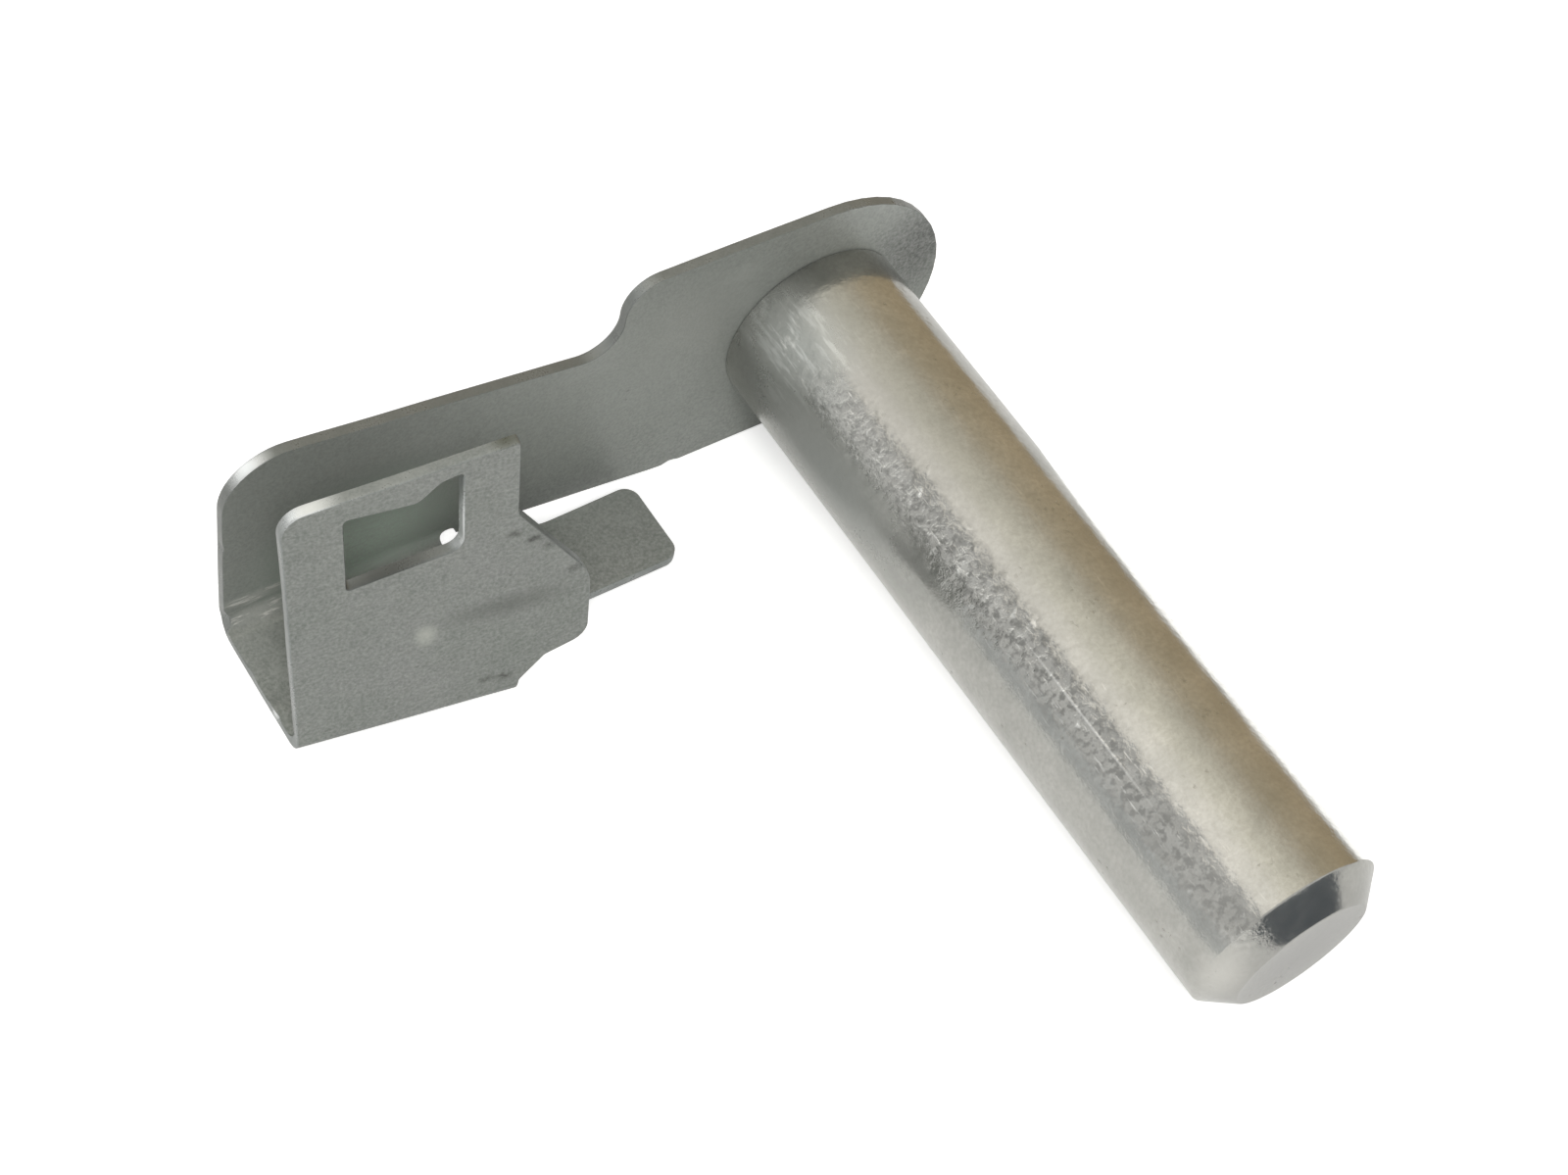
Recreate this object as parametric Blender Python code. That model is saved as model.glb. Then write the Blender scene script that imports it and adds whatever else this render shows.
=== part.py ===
"""Shifter lock pin: a turned round pin staked into a folded sheet-metal clip.

The frame is +Z up, in metres. The origin is the centre of the pin's flat free end, on the pin's axis.
The pin runs along +Y to its shoulder, where the clip's plate stands square to it. The clip's arm runs
to -X and ends in a channel that is open upwards: the plate is its back wall, the web its floor and the
leg its front wall.
"""

from math import cos, pi, radians, sin, tan

import bmesh
import bpy
from mathutils import Vector

MM = 0.001

# Pin
PIN_DIAMETER = 10.0 * MM
PIN_LENGTH = 40.1 * MM
CHAMFER_LENGTH = 1.3 * MM
CHAMFER_DEPTH = 1.45 * MM
TENON_DIAMETER = 6.0 * MM
STAKE_DIAMETER = 8.4 * MM
STAKE_HEIGHT = 0.9 * MM
STAKE_FLAT_DIAMETER = 4.6 * MM
TURNED_SIDES = 96

# Fit of the pin in the plate
SEAT_GAP = 0.1 * MM
TENON_CLEARANCE = 0.15 * MM

# Sheet
SHEET = 0.6 * MM
BURR_EDGE_BREAK = 0.02 * MM
ROLLED_EDGE_ACROSS = 0.06 * MM
ROLLED_EDGE_THROUGH = 0.16 * MM
ROLLED_EDGE_STEPS = 3

# Head and neck of the plate
HEAD_RADIUS = 7.7 * MM
HEAD_OFFSET = 0.25 * MM
STEP_REACH = 11.55 * MM
STEP_RADIUS = 1.95 * MM
NECK_REACH = 8.0 * MM
NECK_BLEND_RADIUS = 9.0 * MM

# Arm: a straight strip that rises away from the neck, to its end at the channel
ARM_ANGLE = radians(7.9)
ARM_WIDTH = 10.5 * MM
ARM_END = 32.15 * MM
ARM_END_LEAN = radians(3.3)
ARM_CORNER_RADIUS = 3.0 * MM

# First bend, from the plate's lower edge into the web
CHANNEL_LENGTH = 11.2 * MM
FLOOR_DROP = 0.1 * MM
PLATE_BEND_RADIUS = 1.0 * MM

# Second bend, from the web into the leg
CHANNEL_DEPTH = 7.65 * MM
LEG_YAW = radians(9.2)
LEG_LEAN = radians(7.5)
LEG_BEND_RADIUS = 0.35 * MM

# Leg: its outline along the second bend and up its face
LEG_WIDTH = 10.55 * MM
LEG_HEIGHT = 15.97 * MM
LEG_FLARE = 0.15 * MM
LEG_TOP_SLOPE = radians(7.2)
LEG_CORNER_RADIUS = 1.3 * MM
NOSE_REACH = 3.65 * MM
NOSE_TOP = 12.85 * MM
NOSE_SHOULDER = 7.6 * MM
NOSE_BOTTOM = 3.3 * MM
HEEL_REACH = 1.5 * MM
HEEL_HEIGHT = 2.6 * MM
FOOT_REACH = 0.25 * MM
FOOT_HEIGHT = 1.25 * MM
NOSE_UPPER_RADIUS = 3.0 * MM
NOSE_LOWER_RADIUS = 1.1 * MM

# Window in the leg
WINDOW_START = 2.62 * MM
WINDOW_WIDTH = 5.33 * MM
WINDOW_BAR = 0.87 * MM
WINDOW_HEIGHT = 4.82 * MM
WINDOW_SILL_SLOPE = radians(9.3)
WINDOW_RADIUS = 0.8 * MM
WINDOW_STEP_RISE = 0.95 * MM
WINDOW_STEP_SLOPE = radians(42)
WINDOW_LEDGE = 0.95 * MM
WINDOW_LEDGE_SLOPE = radians(12.4)
SMALL_RADIUS = 0.15 * MM

# Tongue: the web's free end, lanced off the plate's lower edge
TONGUE_LENGTH = 10.3 * MM
TONGUE_INSET = 1.5 * MM
TONGUE_CORNER_RADIUS = 0.8 * MM
TONGUE_TIP_GAP = 0.05 * MM
TONGUE_WAIST_GAP = 0.87 * MM
TONGUE_WAIST_LENGTH = 5.15 * MM
RELIEF_SIZE = 1.0 * MM
RELIEF_RISE = 0.55 * MM
WEB_CORNER_RADIUS = 0.5 * MM

# Fineness of curves
ARC_STEP = radians(7.5)
ARC_CHORD = 0.08 * MM
BEND_STEPS = 10
LIP_STEPS = 5
SMALLEST_EDGE = 0.004 * MM

# Places worked out from the sizes above
PLATE_FACE = PIN_LENGTH + SEAT_GAP
PLATE_MIDDLE = PLATE_FACE + SHEET / 2
HEAD_TOP = HEAD_OFFSET + HEAD_RADIUS
HEAD_BOTTOM = HEAD_OFFSET - HEAD_RADIUS
LANCE_END = ARM_END - CHANNEL_LENGTH
RELIEF_END = LANCE_END - RELIEF_SIZE
FLOOR_HEIGHT = HEAD_BOTTOM + (LANCE_END - NECK_REACH) * tan(ARM_ANGLE) - FLOOR_DROP
WEB_MIDDLE = FLOOR_HEIGHT - SHEET / 2
PLATE_BEND = PLATE_BEND_RADIUS + SHEET / 2
PLATE_BEND_START = WEB_MIDDLE + PLATE_BEND
PLATE_BEND_LENGTH = PLATE_BEND * pi / 2
LEG_BEND = LEG_BEND_RADIUS + SHEET / 2
LEG_BEND_ANGLE = pi / 2 + LEG_LEAN
LEG_BEND_LENGTH = LEG_BEND * LEG_BEND_ANGLE
LEG_SETBACK = (LEG_BEND_RADIUS + SHEET) * tan(LEG_BEND_ANGLE / 2)
FOLD_ALONG = Vector((cos(LEG_YAW), -sin(LEG_YAW)))
FOLD_ACROSS = Vector((-sin(LEG_YAW), -cos(LEG_YAW)))


def arm_bottom(x):
    """Height of the arm's lower edge at x."""
    return HEAD_BOTTOM - (x + NECK_REACH) * tan(ARM_ANGLE)


def arm_top(x):
    """Height of the arm's upper edge at x."""
    return arm_bottom(x) + ARM_WIDTH / cos(ARM_ANGLE)


def end_edge(z):
    """Place along X of the arm's sloping end at a height."""
    return -ARM_END + z * tan(ARM_END_LEAN) / 2


def web_point(x, depth):
    """Place on the blank of the web's point at x, at a depth in front of the plate's inner face."""
    return Vector((x, PLATE_BEND_START - PLATE_BEND_LENGTH - (depth - PLATE_BEND_RADIUS)))


def leg_corner():
    """Place on the blank of the sharp outer corner below the leg's left edge."""
    return web_point(end_edge(FLOOR_HEIGHT), CHANNEL_DEPTH)


def leg_point(along, height):
    """Place on the blank of the leg's point, along the fold from its left edge and up its face."""
    past = -LEG_SETBACK + LEG_BEND_LENGTH + height - LEG_SETBACK
    return leg_corner() + FOLD_ALONG * along + FOLD_ACROSS * past


def rounded(corners, inset):
    """Closed outline through (point, radius) corners, moved by inset to the right of its direction."""
    points = []
    for index, (corner, radius) in enumerate(corners):
        back = (corners[index - 1][0] - corner).normalized()
        ahead = (corners[(index + 1) % len(corners)][0] - corner).normalized()
        opening = back.angle(ahead)
        turns_right = back.x * ahead.y - back.y * ahead.x > 0
        if radius == 0:
            right = Vector((-back.y, back.x)) + Vector((ahead.y, -ahead.x))
            points.append(corner + right * inset / (1 - back.dot(ahead)))
            continue
        setback = radius / tan(opening / 2)
        centre = corner + (back + ahead).normalized() * (radius / sin(opening / 2))
        start = corner + back * setback - centre
        start *= 1 - inset / radius if turns_right else 1 + inset / radius
        turn = pi - opening
        steps = max(2, round(min(turn / ARC_STEP, turn * radius / ARC_CHORD)))
        for step in range(steps + 1):
            angle = turn * step / steps * (-1 if turns_right else 1)
            spoke = Vector((
                start.x * cos(angle) - start.y * sin(angle),
                start.x * sin(angle) + start.y * cos(angle),
            ))
            points.append(centre + spoke)
    return points


def blank_outline(inset):
    """Outline of the flat blank: head, tongue, leg, arm and step, clockwise from the head's top."""
    relief_foot = arm_bottom(-RELIEF_END)
    relief_top = relief_foot + RELIEF_RISE
    relief_radius = min(RELIEF_SIZE, RELIEF_RISE / 0.55) * 0.44
    waist = TONGUE_WAIST_LENGTH - LANCE_END
    tip = TONGUE_LENGTH - LANCE_END
    near_edge = CHANNEL_DEPTH - TONGUE_INSET
    foot = leg_point(LEG_WIDTH + FOOT_REACH, FOOT_HEIGHT)
    leg_right = LEG_HEIGHT + LEG_WIDTH * tan(LEG_TOP_SLOPE)
    step_radius = min(STEP_RADIUS, (HEAD_TOP - arm_top(-STEP_REACH)) * 0.46)
    return rounded([
        (Vector((HEAD_RADIUS, HEAD_TOP)), HEAD_RADIUS),
        (Vector((HEAD_RADIUS, HEAD_BOTTOM)), HEAD_RADIUS),
        (Vector((-NECK_REACH, HEAD_BOTTOM)), NECK_BLEND_RADIUS),
        (Vector((-RELIEF_END, relief_foot)), SMALL_RADIUS / 2),
        (Vector((-RELIEF_END, relief_top)), relief_radius),
        (Vector((-LANCE_END, relief_top)), relief_radius),
        (Vector((-LANCE_END, relief_top - RELIEF_SIZE)), relief_radius),
        (Vector((waist, arm_bottom(waist) - TONGUE_WAIST_GAP)), ARM_CORNER_RADIUS),
        (Vector((tip, arm_bottom(tip) - TONGUE_TIP_GAP)), TONGUE_CORNER_RADIUS),
        (web_point(tip, near_edge), TONGUE_CORNER_RADIUS),
        (web_point(foot.x, near_edge), WEB_CORNER_RADIUS),
        (foot, SMALL_RADIUS * 2),
        (leg_point(LEG_WIDTH + HEEL_REACH, HEEL_HEIGHT), SMALL_RADIUS * 2),
        (leg_point(LEG_WIDTH + NOSE_REACH, NOSE_BOTTOM), NOSE_LOWER_RADIUS),
        (leg_point(LEG_WIDTH + NOSE_REACH, NOSE_SHOULDER), NOSE_UPPER_RADIUS),
        (leg_point(LEG_WIDTH, NOSE_TOP), SMALL_RADIUS * 3),
        (leg_point(LEG_WIDTH, leg_right), SMALL_RADIUS),
        (leg_point(-LEG_FLARE, LEG_HEIGHT), LEG_CORNER_RADIUS),
        (leg_corner(), 0),
        (web_point(end_edge(FLOOR_HEIGHT), PLATE_BEND_RADIUS), 0),
        (Vector((end_edge(PLATE_BEND_START), PLATE_BEND_START)), 0),
        (Vector((-ARM_END, arm_top(-ARM_END))), ARM_CORNER_RADIUS),
        (Vector((-STEP_REACH, arm_top(-STEP_REACH))), step_radius),
        (Vector((-STEP_REACH, HEAD_TOP)), step_radius),
    ], inset)


def window_outline(inset):
    """Outline of the leg's window on the blank, its head stepped up at the right, larger by the inset."""
    right = WINDOW_START + WINDOW_WIDTH
    head = LEG_HEIGHT - WINDOW_BAR
    sill = head - WINDOW_HEIGHT
    ledge = head + WINDOW_STEP_RISE
    step_top = right - WINDOW_LEDGE
    step_foot = step_top - WINDOW_STEP_RISE / tan(WINDOW_STEP_SLOPE)
    return rounded([
        (leg_point(WINDOW_START, sill + WINDOW_START * tan(WINDOW_SILL_SLOPE)), SMALL_RADIUS),
        (leg_point(right, sill + right * tan(WINDOW_SILL_SLOPE)), WINDOW_RADIUS),
        (leg_point(right, ledge + WINDOW_LEDGE * tan(WINDOW_LEDGE_SLOPE)), SMALL_RADIUS),
        (leg_point(step_top, ledge), WINDOW_LEDGE),
        (leg_point(step_foot, head), WINDOW_RADIUS),
        (leg_point(WINDOW_START, head), SMALL_RADIUS * 2),
    ], -inset)


def tenon_hole(inset):
    """Outline of the round hole that the pin's tenon passes through, larger by the inset."""
    radius = TENON_DIAMETER / 2 + TENON_CLEARANCE + inset
    turns = [2 * pi * step / TURNED_SIDES for step in range(TURNED_SIDES)]
    return [Vector((radius * cos(turn), radius * sin(turn))) for turn in turns]


def lance_middle(x):
    """Height on the blank of a line within the cut between the plate's lower edge and the tongue."""
    return arm_bottom(x) - SMALLEST_EDGE


def on_plate(x, v, w):
    """Place of a blank point that stays in the plate's plane, w being its place through the sheet."""
    return Vector((x, PLATE_MIDDLE + w, v))


def on_web_and_leg(x, v, w):
    """Place of a blank point below the first bend line, once both bends are made."""
    past = PLATE_BEND_START - v
    turned = min(past / PLATE_BEND, pi / 2)
    straight = max(past - PLATE_BEND_LENGTH, 0)
    depth = PLATE_MIDDLE - PLATE_BEND + (PLATE_BEND + w) * cos(turned) - straight
    place = Vector((x, depth, PLATE_BEND_START - (PLATE_BEND + w) * sin(turned)))
    past_fold = (Vector((x, v)) - leg_corner()).dot(FOLD_ACROSS) + LEG_SETBACK
    if past_fold <= 0:
        return place
    turned = min(past_fold / LEG_BEND, LEG_BEND_ANGLE)
    straight = max(past_fold - LEG_BEND_LENGTH, 0)
    out = (LEG_BEND + w) * sin(turned) + straight * cos(turned) - past_fold
    rise = LEG_BEND + w - (LEG_BEND + w) * cos(turned) + straight * sin(turned)
    return place + Vector((FOLD_ACROSS.x * out, FOLD_ACROSS.y * out, rise))


def folded(x, v, w):
    """Place of a point of the flat blank once the sheet is folded."""
    if v >= PLATE_BEND_START:
        return on_plate(x, v, w)
    if x < -LANCE_END or v < lance_middle(x):
        return on_web_and_leg(x, v, w)
    ease = min((x + LANCE_END) / RELIEF_SIZE, 1)
    return on_web_and_leg(x, v, w).lerp(on_plate(x, v, w), ease * ease * (3 - 2 * ease))


def flat_blank():
    """The flat blank as a closed solid in (x, v, w): sharp edges inside the fold, rolled ones outside."""
    mesh = bmesh.new()
    half = SHEET / 2
    levels = [(BURR_EDGE_BREAK, -half), (0, BURR_EDGE_BREAK - half)]
    for step in range(ROLLED_EDGE_STEPS, -1, -1):
        turn = pi / 2 * step / ROLLED_EDGE_STEPS
        inset = ROLLED_EDGE_ACROSS * (1 - sin(turn))
        levels.append((inset, half - ROLLED_EDGE_THROUGH * (1 - cos(turn))))
    faces = {-half: [], half: []}
    for outline in (blank_outline, window_outline, tenon_hole):
        rings = []
        for inset, w in levels:
            ring = [mesh.verts.new((point.x, point.y, w)) for point in outline(inset)]
            edges = [mesh.edges.new((ring[index - 1], ring[index])) for index in range(len(ring))]
            faces.setdefault(w, []).extend(edges)
            rings.append(ring)
        for lower, upper in zip(rings, rings[1:]):
            for index in range(len(lower)):
                mesh.faces.new((lower[index - 1], lower[index], upper[index], upper[index - 1]))
    for w in (-half, half):
        bmesh.ops.triangle_fill(mesh, use_beauty=True, use_dissolve=False, edges=faces[w])
    return mesh


def cut_line(mesh, place, across, keep=None):
    """Splits the blank's faces along a line, or those faces only that keep accepts."""
    faces = [face for face in mesh.faces if keep is None or keep(face.calc_center_bounds())]
    edges = {edge for face in faces for edge in face.edges}
    verts = {vertex for face in faces for vertex in face.verts}
    bmesh.ops.bisect_plane(
        mesh,
        geom=list(verts) + list(edges) + faces,
        dist=SMALLEST_EDGE / 4,
        plane_co=(place.x, place.y, 0),
        plane_no=(across.x, across.y, 0),
    )


def cut_for_bends(mesh):
    """Lines across both bends, and across the lip over the relief notch, where the sheet curves."""

    def in_lip(centre):
        return centre.y > lance_middle(centre.x) and -LANCE_END < centre.x < -RELIEF_END

    def in_channel(centre):
        return centre.x < -RELIEF_END

    cut_line(mesh, Vector((0, PLATE_BEND_START)), Vector((0, 1)))
    cut_line(mesh, Vector((-LANCE_END, 0)), Vector((1, 0)))
    cut_line(mesh, Vector((-RELIEF_END, 0)), Vector((1, 0)))
    for step in range(1, LIP_STEPS):
        reach = RELIEF_SIZE * step / LIP_STEPS - LANCE_END
        cut_line(mesh, Vector((reach, 0)), Vector((1, 0)), in_lip)
    for step in range(1, BEND_STEPS + 1):
        past = PLATE_BEND_LENGTH * step / BEND_STEPS
        cut_line(mesh, Vector((0, PLATE_BEND_START - past)), Vector((0, 1)), in_channel)
    fold_start = leg_corner() - FOLD_ACROSS * LEG_SETBACK
    for step in range(BEND_STEPS + 1):
        past = LEG_BEND_LENGTH * step / BEND_STEPS
        cut_line(mesh, fold_start + FOLD_ACROSS * past, FOLD_ACROSS)
    bmesh.ops.remove_doubles(mesh, verts=mesh.verts[:], dist=SMALLEST_EDGE)


def metal(name, colour, roughness, metallic):
    """A bare metal finish."""
    material = bpy.data.materials.new(name)
    material.use_nodes = True
    surface = material.node_tree.nodes["Principled BSDF"]
    surface.inputs["Base Color"].default_value = (*colour, 1)
    surface.inputs["Roughness"].default_value = roughness
    surface.inputs["Metallic"].default_value = metallic
    material.diffuse_color = (*colour, 1)
    return material


def face_outwards(mesh):
    """Turns every face of a closed solid outwards."""
    bmesh.ops.recalc_face_normals(mesh, faces=mesh.faces[:])
    if mesh.calc_volume(signed=True) < 0:
        bmesh.ops.reverse_faces(mesh, faces=mesh.faces[:])


def add_object(name, mesh, material):
    """A finished sub-part from a bmesh, shaded smooth with its sharp edges kept."""
    data = bpy.data.meshes.new(name)
    mesh.to_mesh(data)
    mesh.free()
    data.materials.append(material)
    data.shade_smooth()
    data.set_sharp_from_angle(angle=radians(40))
    result = bpy.data.objects.new(name, data)
    bpy.context.scene.collection.objects.link(result)
    return result


def clip_plate():
    """The folded sheet: head, arm, channel and tongue in one piece."""
    mesh = flat_blank()
    cut_for_bends(mesh)
    for vertex in mesh.verts:
        vertex.co = folded(*vertex.co)
    face_outwards(mesh)
    return add_object("clip_plate", mesh, metal("zinc_sheet", (0.40, 0.42, 0.39), 0.5, 0.85))


def pin_profile():
    """Half section of the pin as (radius, place along Y), from the free end to the staked head."""
    radius = PIN_DIAMETER / 2
    tenon = TENON_DIAMETER / 2
    stake = STAKE_DIAMETER / 2
    flat = STAKE_FLAT_DIAMETER / 2
    seat = PLATE_FACE + SHEET + SEAT_GAP
    top = seat + STAKE_HEIGHT
    profile = [
        (0, 0),
        (radius - CHAMFER_DEPTH, 0),
        (radius, CHAMFER_LENGTH),
        (radius, PIN_LENGTH),
        (tenon, PIN_LENGTH),
        (tenon, seat),
        (stake, seat),
        (stake, seat + STAKE_HEIGHT / 4),
    ]
    steps = 5
    for step in range(1, steps + 1):
        turn = pi / 2 * step / steps
        across = flat + (stake - flat) * cos(turn)
        profile.append((across, seat + STAKE_HEIGHT / 4 + STAKE_HEIGHT * 3 / 4 * sin(turn)))
    profile.append((0, top))
    return profile


def lock_pin():
    """The turned pin: chamfered free end, shank, tenon and the head staked over the plate."""
    mesh = bmesh.new()
    verts = [mesh.verts.new((radius, along, 0)) for radius, along in pin_profile()]
    edges = [mesh.edges.new(pair) for pair in zip(verts, verts[1:])]
    bmesh.ops.spin(
        mesh,
        geom=verts + edges,
        cent=(0, 0, 0),
        axis=(0, 1, 0),
        angle=2 * pi,
        steps=TURNED_SIDES,
        use_merge=True,
    )
    bmesh.ops.remove_doubles(mesh, verts=mesh.verts[:], dist=0.001 * MM)
    face_outwards(mesh)
    return add_object("lock_pin", mesh, metal("plated_steel", (0.62, 0.60, 0.57), 0.28, 1.0))


def main():
    for old in list(bpy.data.objects):
        bpy.data.objects.remove(old, do_unlink=True)
    lock_pin()
    clip_plate()


main()
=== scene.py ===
"""The looks of the shifter lock pin: a zinc-plated turned pin staked into a dull zinc sheet clip.

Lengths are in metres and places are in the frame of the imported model: the pin runs along +Y from its
free end at the origin, the clip's plate stands at its far end, and the channel opens upwards at -X.
"""

from math import cos, pi, radians, sin

import bmesh
import bpy
from mathutils import Matrix, Vector, noise


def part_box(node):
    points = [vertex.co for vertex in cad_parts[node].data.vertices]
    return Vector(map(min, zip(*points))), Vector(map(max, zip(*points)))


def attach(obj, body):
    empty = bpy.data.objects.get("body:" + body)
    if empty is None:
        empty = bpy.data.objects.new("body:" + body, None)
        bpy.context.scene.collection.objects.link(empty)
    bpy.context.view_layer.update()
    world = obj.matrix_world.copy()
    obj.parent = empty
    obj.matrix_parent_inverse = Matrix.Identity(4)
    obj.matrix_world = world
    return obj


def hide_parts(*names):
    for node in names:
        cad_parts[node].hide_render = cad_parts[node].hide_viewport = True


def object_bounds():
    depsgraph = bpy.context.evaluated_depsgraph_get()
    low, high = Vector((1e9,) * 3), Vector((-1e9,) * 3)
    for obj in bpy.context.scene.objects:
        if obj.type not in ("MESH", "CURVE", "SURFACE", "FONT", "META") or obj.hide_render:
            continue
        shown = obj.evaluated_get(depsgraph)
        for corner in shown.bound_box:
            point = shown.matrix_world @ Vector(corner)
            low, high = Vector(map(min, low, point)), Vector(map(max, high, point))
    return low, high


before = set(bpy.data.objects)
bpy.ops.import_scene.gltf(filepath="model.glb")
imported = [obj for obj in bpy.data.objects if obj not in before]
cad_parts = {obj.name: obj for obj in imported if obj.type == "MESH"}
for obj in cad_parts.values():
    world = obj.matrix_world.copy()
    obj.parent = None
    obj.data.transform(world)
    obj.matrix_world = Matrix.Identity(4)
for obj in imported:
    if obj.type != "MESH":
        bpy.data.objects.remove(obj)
cad_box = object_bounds()

MM = 0.001


def mm(x, y, z):
    """A place or a reach given in millimetres."""
    return Vector((x, y, z)) * MM


# Sizes of the part that the finish follows
SHEET_THICKNESS = 0.6 * MM
PLATE_FACE_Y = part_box("clip_plate")[1].y - SHEET_THICKNESS
PIN_CHAMFER = 1.3 * MM

# The gap under the pin's shoulder, and where its corner lies: in a band before the plate, outside a radius
SHOULDER_GAP = 0.1 * MM
SHOULDER_BAND = 0.25 * MM
SHOULDER_RADIUS = 3.2 * MM

# Sizes of the finish
CELL = 0.35 * MM
MERGE_DISTANCE = 0.0004 * MM
CUT_TOLERANCE = 0.002 * MM
SMALLEST_EDGE = 0.008 * MM
SHEET_BUCKLE = 0.035 * MM
SHEET_BUCKLE_CELL = 5.0 * MM
BUCKLE_SEED = 7
PIN_UNEVENNESS = 0.008 * MM
PIN_UNEVENNESS_CELL = 1.6 * MM
PIN_CORNER = 0.07 * MM
BROAD_FACE_AREA = 25e-6
FLAT_ANGLE = radians(0.4)
RIM_ANGLE = radians(25)
PIN_EDGE_ANGLE = radians(35)
SHADING_ANGLE = radians(42)

# Depth of the relief in each finish
SHEET_RELIEF = 0.012 * MM
EDGE_RELIEF = 0.0015 * MM
PIN_RELIEF = 0.008 * MM


def on_plate(x, z):
    """A place on the plate's face, with its other two coordinates given in millimetres."""
    return Vector((x * MM, PLATE_FACE_Y, z * MM))


# Marks on the sheet: place and reach
PRESSED_SPOT = (mm(-26.04, 32.38, -0.15), mm(0.85, 1.0, 1.05))
PRESSED_STREAK = (mm(-22.2, 31.9, 0.5), mm(4.4, 3.0, 1.1))
PLATE_SMEAR = (on_plate(-4.9, 6.1), mm(1.6, 0.5, 1.1))
# Scuffs at the inner bend, painted bright so that they also stand for the bend's highlight
HIGH_SCUFF_SHEEN = (on_plate(-30.6, -4.1), mm(2.6, 1.0, 0.6))
LOW_SCUFF_SHEEN = (mm(-30.6, 40.1, -5.2), mm(2.6, 1.0, 0.7))
# Painted light and shade inside the channel: the sheet is painted lighter there and its cut edges darker
INNER_PAINTED_LIGHT_AND_SHADE = (mm(0, 40.5, 1.5), mm(1000, 7.0, 17.0))
# A green tint with painted light: the arm's face seen through the window is painted much lighter
GREEN_PAINTED_LIGHT = (on_plate(-25.0, -3.2), mm(7.5, 0.55, 6.5))
# Painted light: the plate painted lighter left of the pin
PAINTED_LIGHT_PATCH = (on_plate(-7.0, 4.0), mm(5.5, 0.55, 5.0))
# Painted shadow: the pin's shade painted dark on the plate right of it
PIN_SHADOW_PATCH = (on_plate(6.4, 3.0), mm(5.0, 0.55, 6.0))
EDGE_STAIN = (mm(-22.02, 33.68, 10.66), mm(1.1, 1.2, 0.9))
# Painted shade: the window sill painted dark
WINDOW_SILL_SHADE = (mm(-27.5, 33.4, 4.5), mm(5.5, 2.0, 1.7))
# Painted highlights on the cut edges, a little smoother there: the leg's and the arm's top corners, the
# window's jamb and a spot on the web's rim, each a place and reach
EDGE_HIGHLIGHTS = (
    (mm(-30.7, 34.7, 9.4), mm(1.8, 1.0, 1.2)),
    (mm(-30.8, 40.5, 5.5), mm(1.7, 1.0, 1.3)),
    (mm(-24.1, 33.1, 6.4), mm(0.7, 0.9, 3.0)),
    (mm(-32.3, 34.9, -5.8), mm(0.5, 0.4, 0.5)),
)
SHEET_PIT_REACH = mm(0.65, 0.6, 0.4)
SHEET_PITS = (
    mm(-21.86, 32.38, 5.11),
    mm(-20.25, 31.97, 3.93),
    mm(-18.96, 31.47, 1.80),
    mm(-23.21, 31.34, -4.36),
    mm(-22.4, 31.2, -4.5),
    mm(-20.9, 32.2, 4.5),
)

# Dents and burrs of the sheet: place, reach and push
SHEET_NICKS = (
    (mm(-32.30, 40.1, -5.1), 0.75 * MM, mm(0.30, 0.0, 0.0)),
    (mm(-32.30, 39.7, -5.85), 0.5 * MM, mm(-0.10, 0.05, 0.16)),
    (mm(-32.19, 37.3, -5.75), 0.6 * MM, mm(0.06, 0.0, 0.02)),
    (mm(-32.15, 35.30, -5.75), 0.5 * MM, mm(-0.02, 0.0, 0.22)),
    (mm(-32.19, 34.7, -5.75), 0.4 * MM, mm(0.10, 0.0, -0.04)),
    (mm(-7.32, 40.20, -7.45), 0.45 * MM, mm(0.0, 0.02, 0.14)),
    (mm(-26.04, 32.38, -0.03), 0.9 * MM, mm(0.012, 0.09, -0.01)),
    (mm(-32.2, 40.3, 0.6), 0.5 * MM, mm(0.09, 0.0, 0.0)),
    (mm(-32.3, 33.2, 6.2), 0.4 * MM, mm(0.05, 0.0, 0.0)),
    (mm(-32.25, 32.9, 1.2), 0.45 * MM, mm(0.06, 0.0, 0.0)),
    (mm(-32.2, 32.6, -2.6), 0.35 * MM, mm(-0.05, 0.0, 0.0)),
    (mm(-19.3, 31.9, 5.1), 0.4 * MM, mm(-0.06, 0.0, 0.0)),
)

# Marks on the pin: place and reach
WORN_SIDE = (mm(-3.66, 18.0, 3.41), mm(2.0, 40.0, 2.0))
WORN_GROOVE = (mm(-3.0, 21.0, 3.99), mm(0.9, 24.0, 0.9))
# Painted shade: the pin's bright streak darkened towards the plate
BASE_STREAK_SHADE = (mm(-1.9, 40.0, 4.64), mm(2.6, 34.0, 2.6))
RUBBED_BASE = (mm(-3.6, 37.2, 3.4), mm(3.6, 5.5, 4.2))
RUBBED_FLANK = (mm(-4.9, 31.5, 0.9), mm(3.4, 11.0, 3.6))
# A long scratch, painted white as its glint
LONG_SCRATCH_GLINT = (mm(-3.55, 13.0, 3.58), mm(0.11, 7.5, 0.11))
# Painted shade at the pin's free end; its relief is made faint there too
TIP_SHADE = (mm(0, 0.3, 0), mm(6.5, 1.5, 6.5))
# Painted light on the left side of the chamfer
CHAMFER_PAINTED_LIGHT = (mm(-4.4, 0.8, 0.9), mm(2.0, 1.5, 3.2))

# The way that the pin's worn side faces
WORN_NORMAL = Vector((-0.7, 0, 0.7))


# Meshes

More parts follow.
